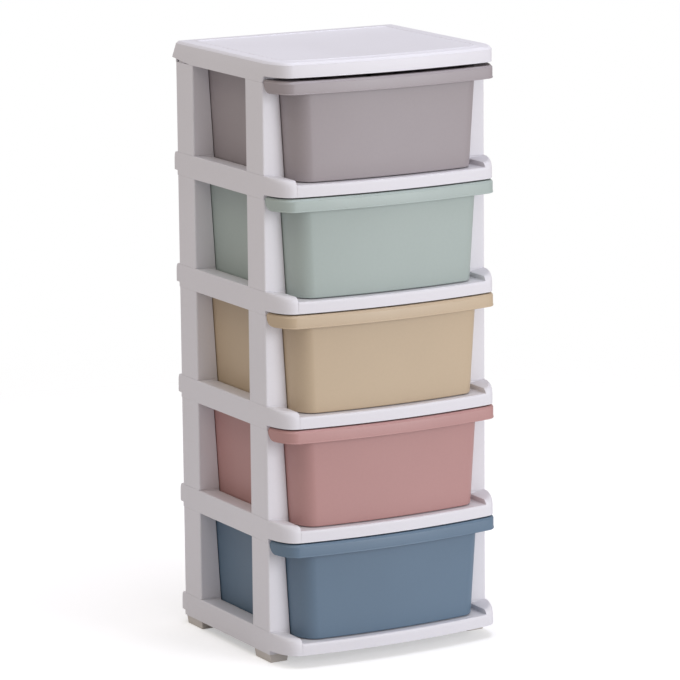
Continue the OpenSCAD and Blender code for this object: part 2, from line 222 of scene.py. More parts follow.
class Shell:
    """Points in millimetres and faces of one moulding."""

    def __init__(self):
        self.points = []
        self.faces = []

    def add(self, points):
        first = len(self.points)
        self.points.extend(points)
        return list(range(first, first + len(points)))

    def face(self, points):
        self.faces.append(self.add(points))

    def band(self, low, high, closed=True):
        """Quads between two rows of indices."""
        count = len(low)
        for i in range(count if closed else count - 1):
            j = (i + 1) % count
            self.faces.append([low[i], low[j], high[j], high[i]])

    def grid(self, rows, closed=False):
        """A surface through rows of points; returns the rows of indices."""
        rows = [self.add(row) for row in rows]
        for low, high in zip(rows, rows[1:]):
            self.band(low, high, closed)
        return rows

    def block(self, low, high, tube_wall=0.0):
        """A box between two corners, or an upright tube with this wall."""
        (x0, y0, z0), (x1, y1, z1) = low, high
        rows = [[(x0, y0, z), (x1, y0, z), (x1, y1, z), (x0, y1, z)] for z in (z0, z1)]
        if tube_wall:
            x0, y0, x1, y1 = x0 + tube_wall, y0 + tube_wall, x1 - tube_wall, y1 - tube_wall
            rows += [[(x0, y0, z), (x1, y0, z), (x1, y1, z), (x0, y1, z)] for z in (z1, z0)]
        made = self.grid(rows, closed=True)
        if tube_wall:
            self.band(made[-1], made[0])
        else:
            self.faces += [made[0][::-1], made[-1]]

    def mesh(self, name, move=(0, 0, 0), mirror_x=False, mirror_y=None):
        """The finished mesh in metres, with doubles merged and faces pointing outwards."""
        data = bpy.data.meshes.new(name)
        placed = []
        for x, y, z in self.points:
            if mirror_x:
                x = -x
            if mirror_y is not None:
                y = mirror_y - y
            placed.append((x * MM + move[0], y * MM + move[1], z * MM + move[2]))
        data.from_pydata(placed, [], self.faces)
        made = bmesh.new()
        made.from_mesh(data)
        bmesh.ops.remove_doubles(made, verts=made.verts, dist=MERGED)
        bmesh.ops.dissolve_degenerate(made, edges=made.edges, dist=DEGENERATE)
        bmesh.ops.recalc_face_normals(made, faces=made.faces)
        made.to_mesh(data)
        made.free()
        data.shade_smooth()
        data.set_sharp_from_angle(angle=SHARP)
        return data


def moulding(name, data, material, body, cad_node, edge=0.0):
    """Puts a moulding in the scene, in place of its CAD node if it has one. edge is the width in
    millimetres that its sharp edges are rounded by."""
    piece = bpy.data.objects.new(name, data)
    scene.collection.objects.link(piece)
    data.materials.clear()
    data.materials.append(material)
    if edge:
        round_off = piece.modifiers.new("rounded_edges", "BEVEL")
        round_off.width = edge * MM
        round_off.segments = EDGE_SEGMENTS
        round_off.limit_method = "ANGLE"
        round_off.angle_limit = SHARP
        round_off.harden_normals = True
        round_off.use_clamp_overlap = True
    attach(piece, body)
    if cad_node:
        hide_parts(cad_node)


# Scale, detail and roughness of the noises in the plastic, and the range that most of a noise is in
MELT_NOISE, SPECK_NOISE, SHEEN_NOISE = (5.5, 2, 0.5), (260, 3, 0.6), (14, 3, 0.55)
GRAIN_DETAIL, GRAIN_ROUGHNESS = 2, 0.6
NOISE_LOW, NOISE_HIGH = 0.3, 0.7
SHEEN_SPREAD = 0.035
GRAIN_BUMP, GRAIN_HEIGHT = 0.10, 0.0004
PLASTIC_IOR = 1.49


def noise(tree, place, scale, detail, roughness):
    """Value of a noise at a place on a moulding."""
    made = node(tree, "ShaderNodeTexNoise", Scale=scale, Detail=detail, Roughness=roughness)
    tree.links.new(place, made.inputs["Vector"])
    return made.outputs["Fac"]


def noise_between(tree, place, kind, low, high):
    """The same, spread from low to high."""
    spread = node(tree, "ShaderNodeMapRange")
    spread.inputs["From Min"].default_value = NOISE_LOW
    spread.inputs["From Max"].default_value = NOISE_HIGH
    spread.inputs["To Min"].default_value = low
    spread.inputs["To Max"].default_value = high
    tree.links.new(noise(tree, place, *kind), spread.inputs["Value"])
    return spread.outputs[0]


def moulded_plastic(name, colour, roughness, grain, shade=0.03, mottle=0.012, gloss=0.5):
    """Satin polypropylene: colour that drifts slightly with the melt, a fine spark-eroded grain
    and a sheen that varies a little from place to place. Colour is given in linear values."""
    material = bpy.data.materials.new(name)
    material.use_nodes = True
    tree = material.node_tree
    surface = tree.nodes["Principled BSDF"]
    surface.inputs["IOR"].default_value = PLASTIC_IOR
    surface.inputs["Specular IOR Level"].default_value = gloss
    place = node(tree, "ShaderNodeTexCoord").outputs["Object"]

    drift = noise_between(tree, place, MELT_NOISE, 1 - shade, 1 + shade)
    specks = noise_between(tree, place, SPECK_NOISE, 1 - mottle, 1 + mottle)
    level = node(tree, "ShaderNodeMath", operation="MULTIPLY")
    tree.links.new(drift, level.inputs[0])
    tree.links.new(specks, level.inputs[1])
    tone = node(tree, "ShaderNodeVectorMath", operation="SCALE")
    tone.inputs[0].default_value = colour
    tree.links.new(level.outputs[0], tone.inputs["Scale"])
    tree.links.new(tone.outputs[0], surface.inputs["Base Color"])

    glossy, dull = roughness - SHEEN_SPREAD, roughness + SHEEN_SPREAD
    sheen = noise_between(tree, place, SHEEN_NOISE, glossy, dull)
    tree.links.new(sheen, surface.inputs["Roughness"])

    bump = node(tree, "ShaderNodeBump", Strength=GRAIN_BUMP, Distance=GRAIN_HEIGHT)
    texture = noise(tree, place, grain, GRAIN_DETAIL, GRAIN_ROUGHNESS)
    tree.links.new(texture, bump.inputs["Height"])
    tree.links.new(bump.outputs[0], surface.inputs["Normal"])
    return material


foot_plastic = moulded_plastic(
    "foot_plastic", colour=(0.62, 0.58, 0.54), roughness=0.46, grain=1400
)

foot = Shell()
foot_inner = post_inner(0)


def foot_plan(inset):
    """Corners of a foot, seen from above, moved in from the outline of its post."""
    x0, x1 = foot_inner + inset, HALF_W - inset
    y0, y1 = inset, POST_D - inset
    return [(x0, y0), (x1, y0), (x1, y1), (x0, y1)]


foot_cup = 2 * FOOT_INSET + FRAME_WALL
foot_profile = [
    (2 * FOOT_INSET, 0), (FOOT_INSET, FOOT_H), (foot_cup, FOOT_H), (foot_cup, FRAME_WALL)
]
foot_rows = [[(x, y, z) for x, y in foot_plan(inset)] for inset, z in foot_profile]
foot_made = foot.grid(foot_rows, closed=True)
foot.faces += [foot_made[0][::-1], foot_made[-1]]
foot.block(
    (PLUG_X - PLUG_W / 2, POST_D / 2 - PLUG_D / 2, FRAME_WALL - BITE),
    (PLUG_X + PLUG_W / 2, POST_D / 2 + PLUG_D / 2, FOOT_H + PLUG_L),
    tube_wall=PLUG_WALL,
)
for end in ("front", "rear"):
    for side in ("left", "right"):
        name = f"{end}_{side}_foot"
        data = foot.mesh(
            name,
            move=(0, FRONT_Y * MM, 0),
            mirror_x=side == "left",
            mirror_y=FRAME_D if end == "rear" else None,
        )
        cad_node = f"foot_{end}_{side}"
        moulding(name, data, foot_plastic, "frame", cad_node, edge=FOOT_EDGE)


# ---- Boards -------------------------------------------------------------------------------------
# Five equal white boards, each one injection moulding, open below: a sunk floor for the drawer with
# two runners, a rail along each side, a bowed front with a rounded cheek on each side, and a lip
# behind.

BOW_REACH, BOW_RISE = 59.0, 16.5
CORNER_W = 23.0
REAR_LIP = 12.0
APRON_LIFT, LIP_LIFT = 6.5, 5.7
FLOOR_DROP = 9.5
RAIL_FALL, RAIL_LAND = 3.5, 1.0
MOUTH_FLARE = 5.5
LEDGE_R = 3.0
RUNNER_H, RUNNER_W, RUNNER_X = 1.0, 7.0, 92.0
REAR_STOP = 2.4
CHEEK_POWER = 5.0  # of the superellipse that gives a cheek its section
APRON_PROUD = 0.4
REAR_R = 2.0
CHANNEL_HALF = post_inner(0)
MOUTH_HALF = CHANNEL_HALF + MOUTH_FLARE
RAIL_SLOPE = RAIL_FALL / (HALF_W - RAIL_LAND - CHANNEL_HALF)
RAIL_EDGE_R, WALL_EDGE_R, FLOOR_R = 1.5, 0.9, 1.0
DOME_H = BOARD_H - APRON_LIFT
LEVELS = 5
FLOOR_COLUMNS, RAIL_COLUMNS, CORNER_TURN = 14, 3, 5  # the last in degrees
DEPTH_PLACES, FILLET_STEPS, LEDGE_STEPS = 8, 4, 9


def bow(x, reach):
    """Reach of the front at a place across the tower, from its reach in the middle."""
    return reach - BOW_RISE * (x / HALF_W) ** 2


def corner_share(x, half, corner):
    """How much of the bow is left at x inside a rounded front corner."""
    past = max(0.0, abs(x) - (half - corner)) / corner
    return math.sqrt(max(0.0, 1 - past * past))


def dome_level(share):
    """Height of the cheek at a share of its reach: 1 at the top, 0 at the lower edge."""
    return (1 - min(1.0, share) ** CHEEK_POWER) ** (1 / CHEEK_POWER)


def arc(cx, cz, r, start, end, steps):
    """Points of an arc, in degrees."""
    turn = [start + (end - start) * i / steps for i in range(steps + 1)]
    return [(cx + r * math.cos(math.radians(a)), cz + r * math.sin(math.radians(a))) for a in turn]


def rail_height(x, inset):
    """Top of a rail: it falls towards the drawer and is rounded along its outer edge."""
    level = -inset - max(0.0, HALF_W - RAIL_LAND - x) * RAIL_SLOPE
    over = max(0.0, x - (HALF_W - inset - RAIL_EDGE_R))
    return level - (RAIL_EDGE_R - math.sqrt(max(0.0, RAIL_EDGE_R ** 2 - over ** 2)))


def side_wall(half, inset):
    """Points up the wall beside the sunk floor: a fillet below and a rounded edge above."""
    floor_z = -FLOOR_DROP - inset
    top = rail_height(half + inset, inset)
    lean = 90 + math.degrees(math.atan(RAIL_SLOPE))
    fillet = arc(half + inset - FLOOR_R, floor_z + FLOOR_R, FLOOR_R, -90, 0, FILLET_STEPS)
    edge_x, edge_z = half + inset + WALL_EDGE_R, top - WALL_EDGE_R
    return fillet + arc(edge_x, edge_z, WALL_EDGE_R, 180, lean, FILLET_STEPS)


def board_columns(inset):
    """Half of the columns across a board: x, and the heights behind and ahead of the post faces."""
    floor_z = -FLOOR_DROP - inset
    channel, mouth = side_wall(CHANNEL_HALF, inset), side_wall(MOUTH_HALF, inset)
    columns = [
        (i / FLOOR_COLUMNS * channel[0][0], floor_z, floor_z) for i in range(FLOOR_COLUMNS)
    ]
    columns += [(x, z, floor_z) for x, z in channel]
    columns += [(x, rail_height(x, inset), z) for x, z in mouth]
    flat, half = mouth[-1][0], HALF_W - inset
    rail = half - CORNER_W - flat
    plain = [flat + rail * i / RAIL_COLUMNS for i in range(1, RAIL_COLUMNS + 1)]
    for turn in range(CORNER_TURN, 90 + CORNER_TURN, CORNER_TURN):
        plain.append(half - CORNER_W + CORNER_W * math.sin(math.radians(turn)))
    return columns + [(x, rail_height(x, inset), rail_height(x, inset)) for x in plain]


# Shares of its reach that a cheek is drawn at: some above the level of the floor, the rest below it
ABOVE_FLOOR, BELOW_FLOOR = 12, 14
FLOOR_SHARE = (1 - (1 - FLOOR_DROP / DOME_H) ** CHEEK_POWER) ** (1 / CHEEK_POWER)
floor_turn = math.acos(FLOOR_SHARE ** (CHEEK_POWER / 2))
dome_turns = [
    math.pi / 2 + (floor_turn - math.pi / 2) * i / ABOVE_FLOOR for i in range(ABOVE_FLOOR + 1)
]
dome_turns += [floor_turn * (1 - i / BELOW_FLOOR) for i in range(1, BELOW_FLOOR + 1)]
DOME_SHARES = [max(0.0, math.cos(turn)) ** (2 / CHEEK_POWER) for turn in dome_turns]


def dome_path(top, inset, reach):
    """Edge of a board from the flat of a rail down to the lower edge, as (reach, height) pairs."""
    drop = DOME_H - inset
    path = []
    for share in DOME_SHARES:
        path.append((share * reach, min(top, -inset - drop * (1 - dome_level(share)))))
    return path[:-1] + [(reach, -DOME_H)] * 2


def apron_path(x, inset):
    """Front edge of the sunk floor: level, round over the ledge and down."""
    floor_z = -FLOOR_DROP - inset
    cheek, reach = bow(x, BOW_REACH - inset), bow(x, BOW_REACH + APRON_PROUD - inset)
    path = []
    for share in DOME_SHARES[: ABOVE_FLOOR + 1]:
        path.append((min(share * cheek, reach - LEDGE_R), floor_z))
    path += arc(reach - LEDGE_R, floor_z - LEDGE_R, LEDGE_R, 90, 0, LEDGE_STEPS)
    left = len(DOME_SHARES) + 1 - len(path)
    start = path[-1][1]
    path += [(reach, start + (-DOME_H - start) * i / (left - 1)) for i in range(1, left)]
    return path + [(reach, -DOME_H)]


def board_row(x, behind, ahead, inset):
    """Points over the board from the lower edge behind to the lower edge in front, at one place."""
    floor_z = -FLOOR_DROP - inset
    stop = FRAME_D - REAR_STOP + inset
    share = corner_share(x, HALF_W - inset, CORNER_W)
    front = dome_path(ahead, inset, share * bow(x, BOW_REACH - inset))
    rise = min(1.0, (ahead - floor_z) / (rail_height(abs(x), inset) - floor_z))
    if rise < 1:
        ledge = apron_path(min(abs(x), MOUTH_HALF + inset), inset)
        mixed = []
        for i, ((r0, z0), (r1, z1)) in enumerate(zip(ledge, front)):
            z = max(floor_z, z1) if i <= ABOVE_FLOOR else z0 + (z1 - z0) * rise
            mixed.append((r0 + (r1 - r0) * rise, z))
        front = mixed
    rear_share = corner_share(x, HALF_W - inset, REAR_R)
    edge_z = rail_height(max(abs(x), HALF_W - RAIL_LAND), inset)
    lip = dome_path(edge_z, inset, rear_share * (REAR_LIP - inset))
    row = [(x, FRAME_D + r, z) for r, z in reversed(lip)]
    row += [(x, stop, edge_z), (x, stop, min(edge_z, behind))]
    row += [(x, FRAME_D * i / DEPTH_PLACES, behind) for i in range(DEPTH_PLACES - 1, 0, -1)]
    row += [(x, inset, behind), (x, inset, ahead)]
    return row + [(x, -r, z) for r, z in front]


def board_skin(shell, inset):
    """One face of the moulded wall; returns the rows of indices from one side to the other."""
    half_columns = board_columns(inset)
    columns = [(-x, behind, ahead) for x, behind, ahead in half_columns[:0:-1]] + half_columns
    return shell.grid([board_row(x, behind, ahead, inset) for x, behind, ahead in columns])


board = Shell()
outer_rows = board_skin(board, 0)
inner_rows = board_skin(board, FRAME_WALL)

# Lower edges in front and behind, then the side walls with their lower edges
board.band([row[0] for row in outer_rows], [row[0] for row in inner_rows], closed=False)
board.band([row[-1] for row in outer_rows], [row[-1] for row in inner_rows], closed=False)
EDGE_POINTS = len(DOME_SHARES) + 1
for outer, inner in ((outer_rows[0], inner_rows[0]), (outer_rows[-1], inner_rows[-1])):
    walls = []
    for edge_row in (outer, inner):
        behind = edge_row[EDGE_POINTS - 1 :: -1]
        ahead = edge_row[-EDGE_POINTS:]
        levels = [edge_row[EDGE_POINTS - 1 : 1 - EDGE_POINTS]]
        places = [board.points[index] for index in levels[0]]
        for low_behind, low_ahead in zip(behind[1:], ahead[1:]):
            z = board.points[low_ahead][2]
            middle = board.add([(x, y, z) for x, y, _ in places[1:-1]])
            levels.append([low_behind] + middle + [low_ahead])
        levels.append(board.add([(x, y, -BOARD_H) for x, y, _ in places]))
        for upper, lower in zip(levels, levels[1:]):
            board.band(upper, lower, closed=False)
        walls.append(levels)
    board.band(walls[0][-1], walls[1][-1], closed=False)
    for end in (0, -1):
        upper_out, lower_out = (level[end] for level in walls[0][-2:])
        upper_in, lower_in = (level[end] for level in walls[1][-2:])
        board.faces.append([upper_out, lower_out, lower_in, upper_in])

# Seats, collars and face walls at the corners, and the runners that carry the drawer
SKIN_GAP = 0.05  # keeps a block's face just behind the skin that covers it
COLLAR_W = PLUG_W / 2 + PLUG_CLEAR + PLUG_WALL
COLLAR_D = PLUG_D / 2 + PLUG_CLEAR + PLUG_WALL


def four_corners(shell, low, high):
    """The same block at the four corners of a board, given for the front right one."""
    for side in (1, -1):
        x0, x1 = sorted((side * low[0], side * high[0]))
        for y0, y1 in ((low[1], high[1]), (FRAME_D - high[1], FRAME_D - low[1])):
            shell.block((x0, y0, low[2]), (x1, y1, high[2]))


four_corners(
    board,
    (post_inner(0), SKIN_GAP, -RAIL_FALL - FRAME_WALL),
    (HALF_W - SKIN_GAP, POST_D, 0),
)
four_corners(
    board,
    (post_inner(POST_H), SKIN_GAP, -BOARD_H),
    (HALF_W - BITE, FRAME_WALL, -BOARD_H + APRON_LIFT + BITE),
)
four_corners(
    board,
    (PLUG_X - COLLAR_W, POST_D / 2 - COLLAR_D, -BOARD_H),
    (PLUG_X + COLLAR_W, POST_D / 2 + COLLAR_D, -FRAME_WALL - SKIN_GAP),
)
for x in (-RUNNER_X, RUNNER_X):
    board.block(
        (x - RUNNER_W / 2, 0, -FLOOR_DROP - BITE),
        (x + RUNNER_W / 2, FRAME_D - REAR_STOP, RUNNER_H - FLOOR_DROP),
    )

frame_white = moulded_plastic(
    "frame_white", colour=(0.74, 0.725, 0.76), roughness=0.45, grain=1500, shade=0.012, mottle=0.008
)

for level in range(LEVELS):
    cad_node = "base_board" if level == 0 else f"shelf_board_{level}"
    z = (FOOT_H + BOARD_H + level * PITCH) * MM
    data = board.mesh(f"{cad_node}_moulding", move=(0, FRONT_Y * MM, z))
    moulding(f"{cad_node}_moulding", data, frame_white, "frame", cad_node)


# ---- Ribs ---------------------------------------------------------------------------------------
# Thin white ribs moulded into the frame: a grid under each board that keeps its floor flat, and
# three cross ribs in the open channel of each post. Geometry nodes set out every row from its named
# sizes.

BOARD_RIB, RIB_DEPTH, CROSS_RIBS = 1.8, 6.0, 3
POST_RIB = 1.6
POST_RIB_SHARES = (0.25, 0.5, 0.75)


def new_tree(name, **sockets):
    """An empty geometry tree with named inputs; returns it with its input node."""
    tree = bpy.data.node_groups.new(name, "GeometryNodeTree")
    tree.interface.new_socket(name="Geometry", in_out="OUTPUT", socket_type="NodeSocketGeometry")
    for socket, kind in sockets.items():
        tree.interface.new_socket(
            name=socket.replace("_", " "), in_out="INPUT", socket_type=f"NodeSocket{kind}"
        )
    return tree, node(tree, "NodeGroupInput").outputs


def finish_tree(tree, geometry, material):
    """Closes a geometry tree: the copies become real and take their material."""
    real = node(tree, "GeometryNodeRealizeInstances", Geometry=geometry)
    coated = node(tree, "GeometryNodeSetMaterial", Geometry=real.outputs[0], Material=material)
    tree.links.new(coated.outputs[0], node(tree, "NodeGroupOutput").inputs[0])


def grown(tree, path=None, **values):
    """The plain mesh that a geometry tree makes from these values and, if it has one, a path."""
    seed = bpy.data.objects.new("seed", path or bpy.data.meshes.new("seed"))
    scene.collection.objects.link(seed)
    modifier = seed.modifiers.new("growth", "NODES")
    modifier.node_group = tree
    for socket in tree.interface.items_tree:
        key = socket.name.replace(" ", "_")
        if key in values:
            modifier[socket.identifier] = values[key]
    grown_seed = seed.evaluated_get(bpy.context.evaluated_depsgraph_get())
    mesh = bpy.data.meshes.new_from_object(grown_seed)
    bpy.data.objects.remove(seed)
    return mesh


def joined(name, meshes):
    """One mesh of several, with its faces pointing outwards."""
    made = bmesh.new()
    for mesh in meshes:
        made.from_mesh(mesh)
    bmesh.ops.recalc_face_normals(made, faces=made.faces)
    data = bpy.data.meshes.new(name)
    made.to_mesh(data)
    made.free()
    data.shade_smooth()
    data.set_sharp_from_angle(angle=SHARP)
    return data


def copies(tree, shape, count, step, **more):
    """Copies of a shape along a straight line."""
    start = {"Start_Location": more.pop("start")} if "start" in more else {}
    line = node(tree, "GeometryNodeMeshLine", mode="OFFSET", Count=count, Offset=step, **start)
    spots = line.outputs[0]
    placed = node(tree, "GeometryNodeInstanceOnPoints", Points=spots, Instance=shape, **more)
    return placed.outputs[0]


# Ribs in a row, each one larger than the last by the growth, then rows above and behind each other
rib_rows, given = new_tree(
    "rib_rows", Ribs="Int", First="Vector", Step="Vector", Size="Vector", Growth="Vector",
    Rows="Int", Row_Step="Vector", Ranks="Int", Rank_Step="Vector", Finish="Material",
)
block = node(rib_rows, "GeometryNodeMeshCube", Size=(1, 1, 1)).outputs[0]
HALF = (0.5, 0.5, 0.5)
block = node(rib_rows, "GeometryNodeTransform", Geometry=block, Translation=HALF).outputs[0]
size = node(rib_rows, "ShaderNodeVectorMath", operation="MULTIPLY_ADD")
rib_rows.links.new(given["Growth"], size.inputs[0])
rib_rows.links.new(node(rib_rows, "GeometryNodeInputIndex").outputs[0], size.inputs[1])
rib_rows.links.new(given["Size"], size.inputs[2])
row = copies(
    rib_rows, block, given["Ribs"], given["Step"], start=given["First"], Scale=size.outputs[0]
)
rows = copies(rib_rows, row, given["Rows"], given["Row Step"])
ranks = copies(rib_rows, rows, given["Ranks"], given["Rank Step"])
finish_tree(rib_rows, ranks, given["Finish"])


def ribs(count, first, step, size, growth=(0, 0, 0), ranks=1, rank_step=0.0):
    """A mesh of ribs on every level, in metres, from sizes in millimetres."""
    x, y, z = first
    return grown(
        rib_rows, Ribs=count, Rows=LEVELS, Ranks=ranks, Finish=frame_white,
        First=(x * MM, y * MM + FRONT_Y * MM, (z + FOOT_H + BOARD_H) * MM),
        Step=[v * MM for v in step], Size=[v * MM for v in size], Growth=[v * MM for v in growth],
        Row_Step=(0, 0, PITCH * MM), Rank_Step=(0, rank_step * MM, 0),
    )


rib_low = -FLOOR_DROP - FRAME_WALL - RIB_DEPTH
rib_high = RIB_DEPTH + BITE
first_rib, middle_rib = POST_D + BOARD_RIB / 2, FRAME_D / 2 - BOARD_RIB / 2
board_ribs = []
for x, count in ((0, 1), (-RUNNER_X, 2)):
    front = FRAME_WALL / 2 - bow(x, BOW_REACH)
    length = FRAME_D - FRAME_WALL / 2 - front
    board_ribs.append(ribs(
        count, (x - BOARD_RIB / 2, front, rib_low), (2 * RUNNER_X, 0, 0),
        (BOARD_RIB, length, rib_high),
    ))
board_ribs.append(ribs(
    CROSS_RIBS, (FRAME_WALL - BITE - HALF_W, first_rib, rib_low), (0, middle_rib - first_rib, 0),
    (2 * (HALF_W - FRAME_WALL + BITE), BOARD_RIB, rib_high),
))
data = joined("board_ribs", board_ribs)
moulding("board_ribs", data, frame_white, "frame", None)


# ---- Posts --------------------------------------------------------------------------------------
# Twenty corner posts, four per tier: open white channels with a plug at each end. Two flanges lean
# with the side of the drawer, and three cross ribs stiffen the channel between them.

POST_EDGE_R, POST_EDGE_STEPS = 2.5, 6
POST_BEVEL = 0.6
BACK_X = HALF_W - FRAME_WALL
post = Shell()


def post_plan(z):
    """Outer outline at a height, from the front flange round the outside to the rear flange."""
    r = POST_EDGE_R
    points = [(post_inner(z), 0)]
    points += arc(HALF_W - r, r, r, -90, 0, POST_EDGE_STEPS)
    points += arc(HALF_W - r, POST_D - r, r, 0, 90, POST_EDGE_STEPS)
    return [(x, y, z) for x, y in points + [(post_inner(z), POST_D)]]


def inner_face(y0, y1, z0, z1):
    """Part of the leaning face towards the drawer."""
    a, b = post_inner(z0), post_inner(z1)
    post.face([(a, y0, z0), (a, y1, z0), (b, y1, z1), (b, y0, z1)])


plate_levels = [0, FRAME_WALL, POST_H - FRAME_WALL, POST_H]
post.grid([post_plan(z) for z in plate_levels])
post.face(post_plan(0)[::-1])
post.face(post_plan(POST_H))
y_in, y_out = FRAME_WALL, POST_D - FRAME_WALL
for index, (z0, z1) in enumerate(zip(plate_levels, plate_levels[1:])):
    inner_face(0, y_in, z0, z1)
    inner_face(y_out, POST_D, z0, z1)
    if index != 1:
        inner_face(y_in, y_out, z0, z1)
z0, z1 = plate_levels[1:3]
channel = [(post_inner(z0), z0), (BACK_X, z0), (BACK_X, z1), (post_inner(z1), z1)]
for y in (y_in, y_out):
    post.face([(x, y, z) for x, z in channel])
post.grid([[(x, y, z) for x, z in channel] for y in (y_in, y_out)])
for z0, z1 in ((-PLUG_L, BITE), (POST_H - BITE, POST_H + PLUG_L)):
    post.block(
        (PLUG_X - PLUG_W / 2, POST_D / 2 - PLUG_D / 2, z0),
        (PLUG_X + PLUG_W / 2, POST_D / 2 + PLUG_D / 2, z1),
        tube_wall=PLUG_WALL,
    )

for tier in range(1, LEVELS + 1):
    for end in ("front", "rear"):
        for side in ("left", "right"):
            cad_node = f"post_{end}_{side}_{tier}"
            name = f"{cad_node}_moulding"
            data = post.mesh(
                name,
                move=(0, FRONT_Y * MM, (FOOT_H + BOARD_H + (tier - 1) * PITCH) * MM),
                mirror_x=side == "left",
                mirror_y=FRAME_D if end == "rear" else None,
            )
            moulding(name, data, frame_white, "frame", cad_node, edge=POST_BEVEL)

# The ribs get narrower from the foot of a post to its head, because the inner edge leans outwards
rib_step = (POST_RIB_SHARES[1] - POST_RIB_SHARES[0]) * POST_H
lean_step = post_inner(rib_step) - post_inner(0)
rib_z = POST_RIB_SHARES[0] * POST_H
rib_x = post_inner(rib_z) + POST_RIB
rib_w = BACK_X + BITE - rib_x
post_ribs = []
for first_x, x_step in ((rib_x, lean_step), (-BACK_X - BITE, 0)):
    post_ribs.append(ribs(
        len(POST_RIB_SHARES), (first_x, y_in - BITE, rib_z - POST_RIB / 2), (x_step, 0, rib_step),
        (rib_w, POST_D - 2 * (y_in - BITE), POST_RIB), growth=(-lean_step, 0, 0),
        ranks=2, rank_step=FRAME_D - POST_D,
    ))
data = joined("post_ribs", post_ribs)
moulding("post_ribs", data, frame_white, "frame", None)


# ---- Top board ----------------------------------------------------------------------------------
# The white lid of the tower: a slab with a narrow slope all round, a border, and a sunk panel with
# a fine raised rim. It is open below and its collars sit over the plugs of the highest posts.

TOP_H = 30.5
TOP_SLOPE_W, TOP_SLOPE_H = 3.0, 4.5
TOP_BORDER = 19.0
PANEL_DROP, PANEL_R = 1.2, 8.0
TOP_APRON_LIFT = 9.0
TOP_Z = FOOT_H + LEVELS * PITCH
LID_CORNER_STEPS, LID_FRONT_PLACES = 16, 24
LID_SIDE_PLACES, LID_REAR_PLACES, LID_REAR_STEPS = 5, 6, 6


def around(half, reach, rear, r, z):
    """Closed outline along the bowed front from the left corner and round the back."""
    corner = []
    for i in range(LID_CORNER_STEPS + 1):
        turn = math.radians(90 * i / LID_CORNER_STEPS)
        x = half - CORNER_W + CORNER_W * math.cos(turn)
        corner.append((x, -bow(x, reach) * math.sin(turn)))
    front, side, back = LID_FRONT_PLACES, LID_SIDE_PLACES, LID_REAR_PLACES
    middle = [(half - CORNER_W) * (2 * i / front - 1) for i in range(1, front)]
    points = [(-x, y) for x, y in corner] + [(x, -bow(x, reach)) for x in middle] + corner[::-1]
    points += [(half, (rear - r) * i / side) for i in range(1, side)]
    points += arc(half - r, rear - r, r, 0, 90, LID_REAR_STEPS)
    points += [((half - r) * (1 - 2 * i / back), rear) for i in range(1, back)]
    points += arc(r - half, rear - r, r, 90, 180, LID_REAR_STEPS)
    points += [(-half, (rear - r) * (1 - i / side)) for i in range(1, side)]
    return [(x, y, z) for x, y in points]


def lid_ring(inset, z, lip=0.0, r=REAR_R):
    """Outline of the lid. lip is how far its rear lip reaches out at this height."""
    return around(HALF_W - inset, BOW_REACH - inset, FRAME_D + REAR_LIP * lip - inset, r, z)


def foot_of_lid(inset):
    """Lower edge of the lid: raised in front and behind."""
    ring = []
    for x, y, _ in lid_ring(inset, 0, lip=1.0):
        lift = TOP_APRON_LIFT if y < -BITE else LIP_LIFT if y > FRAME_D + BITE else 0
        ring.append((x, y, lift))
    return ring


EDGE_R = 0.8
PANEL_IN = TOP_SLOPE_W + TOP_BORDER
RIM_UP, RIM_W = 0.7, 2.4
BORDER_Z = TOP_H - RIM_UP
shoulder = TOP_H - TOP_SLOPE_H
slope_in = EDGE_R * TOP_SLOPE_W / TOP_SLOPE_H
rim_x = PANEL_IN - RIM_W

# Pairs of inset and height: up the slope to the border, then over the rim and down to the panel
lid_profile = [
    (0, shoulder - EDGE_R), (0.25 * slope_in, shoulder - 0.3 * EDGE_R),
    (slope_in, shoulder + 0.7 * EDGE_R),
    (TOP_SLOPE_W - slope_in, BORDER_Z - EDGE_R), (TOP_SLOPE_W, BORDER_Z - 0.25 * EDGE_R),
    (TOP_SLOPE_W + EDGE_R, BORDER_Z),
]
panel_profile = [
    (rim_x - 0.4, BORDER_Z), (rim_x, BORDER_Z + 0.1), (rim_x + 0.3, TOP_H - 0.2),
    (rim_x + EDGE_R, TOP_H), (PANEL_IN - EDGE_R, TOP_H), (PANEL_IN, TOP_H - 0.4 * EDGE_R),
    (PANEL_IN + 0.5 * EDGE_R, TOP_H - PANEL_DROP + 0.2),
    (PANEL_IN + 1.5 * EDGE_R, TOP_H - PANEL_DROP),
]
lid = Shell()
lip_share = (shoulder - TOP_APRON_LIFT) / (shoulder - LIP_LIFT)
outer = [foot_of_lid(0), lid_ring(0, TOP_APRON_LIFT, lip=lip_share)]
outer += [lid_ring(inset, z) for inset, z in lid_profile]
outer += [lid_ring(inset, z, r=PANEL_R) for inset, z in panel_profile]
outer_made = lid.grid(outer, closed=True)
lid.faces.append(outer_made[-1])
inner = [foot_of_lid(FRAME_WALL), lid_ring(FRAME_WALL, shoulder - FRAME_WALL)]
inner.append(lid_ring(TOP_SLOPE_W + FRAME_WALL / 2, TOP_H - FRAME_WALL - PANEL_DROP))
inner_made = lid.grid(inner, closed=True)
lid.faces.append(inner_made[-1])
lid.band(outer_made[0], inner_made[0])
four_corners(
    lid, (post_inner(POST_H), SKIN_GAP, 0), (HALF_W - BITE, FRAME_WALL, TOP_APRON_LIFT + BITE)
)
four_corners(
    lid,
    (PLUG_X - COLLAR_W, POST_D / 2 - COLLAR_D, SKIN_GAP),
    (PLUG_X + COLLAR_W - BITE, POST_D / 2 + COLLAR_D, shoulder),
)

data = lid.mesh("top_board_moulding", move=(0, FRONT_Y * MM, TOP_Z * MM))
moulding("top_board_moulding", data, frame_white, "frame", "top_board")


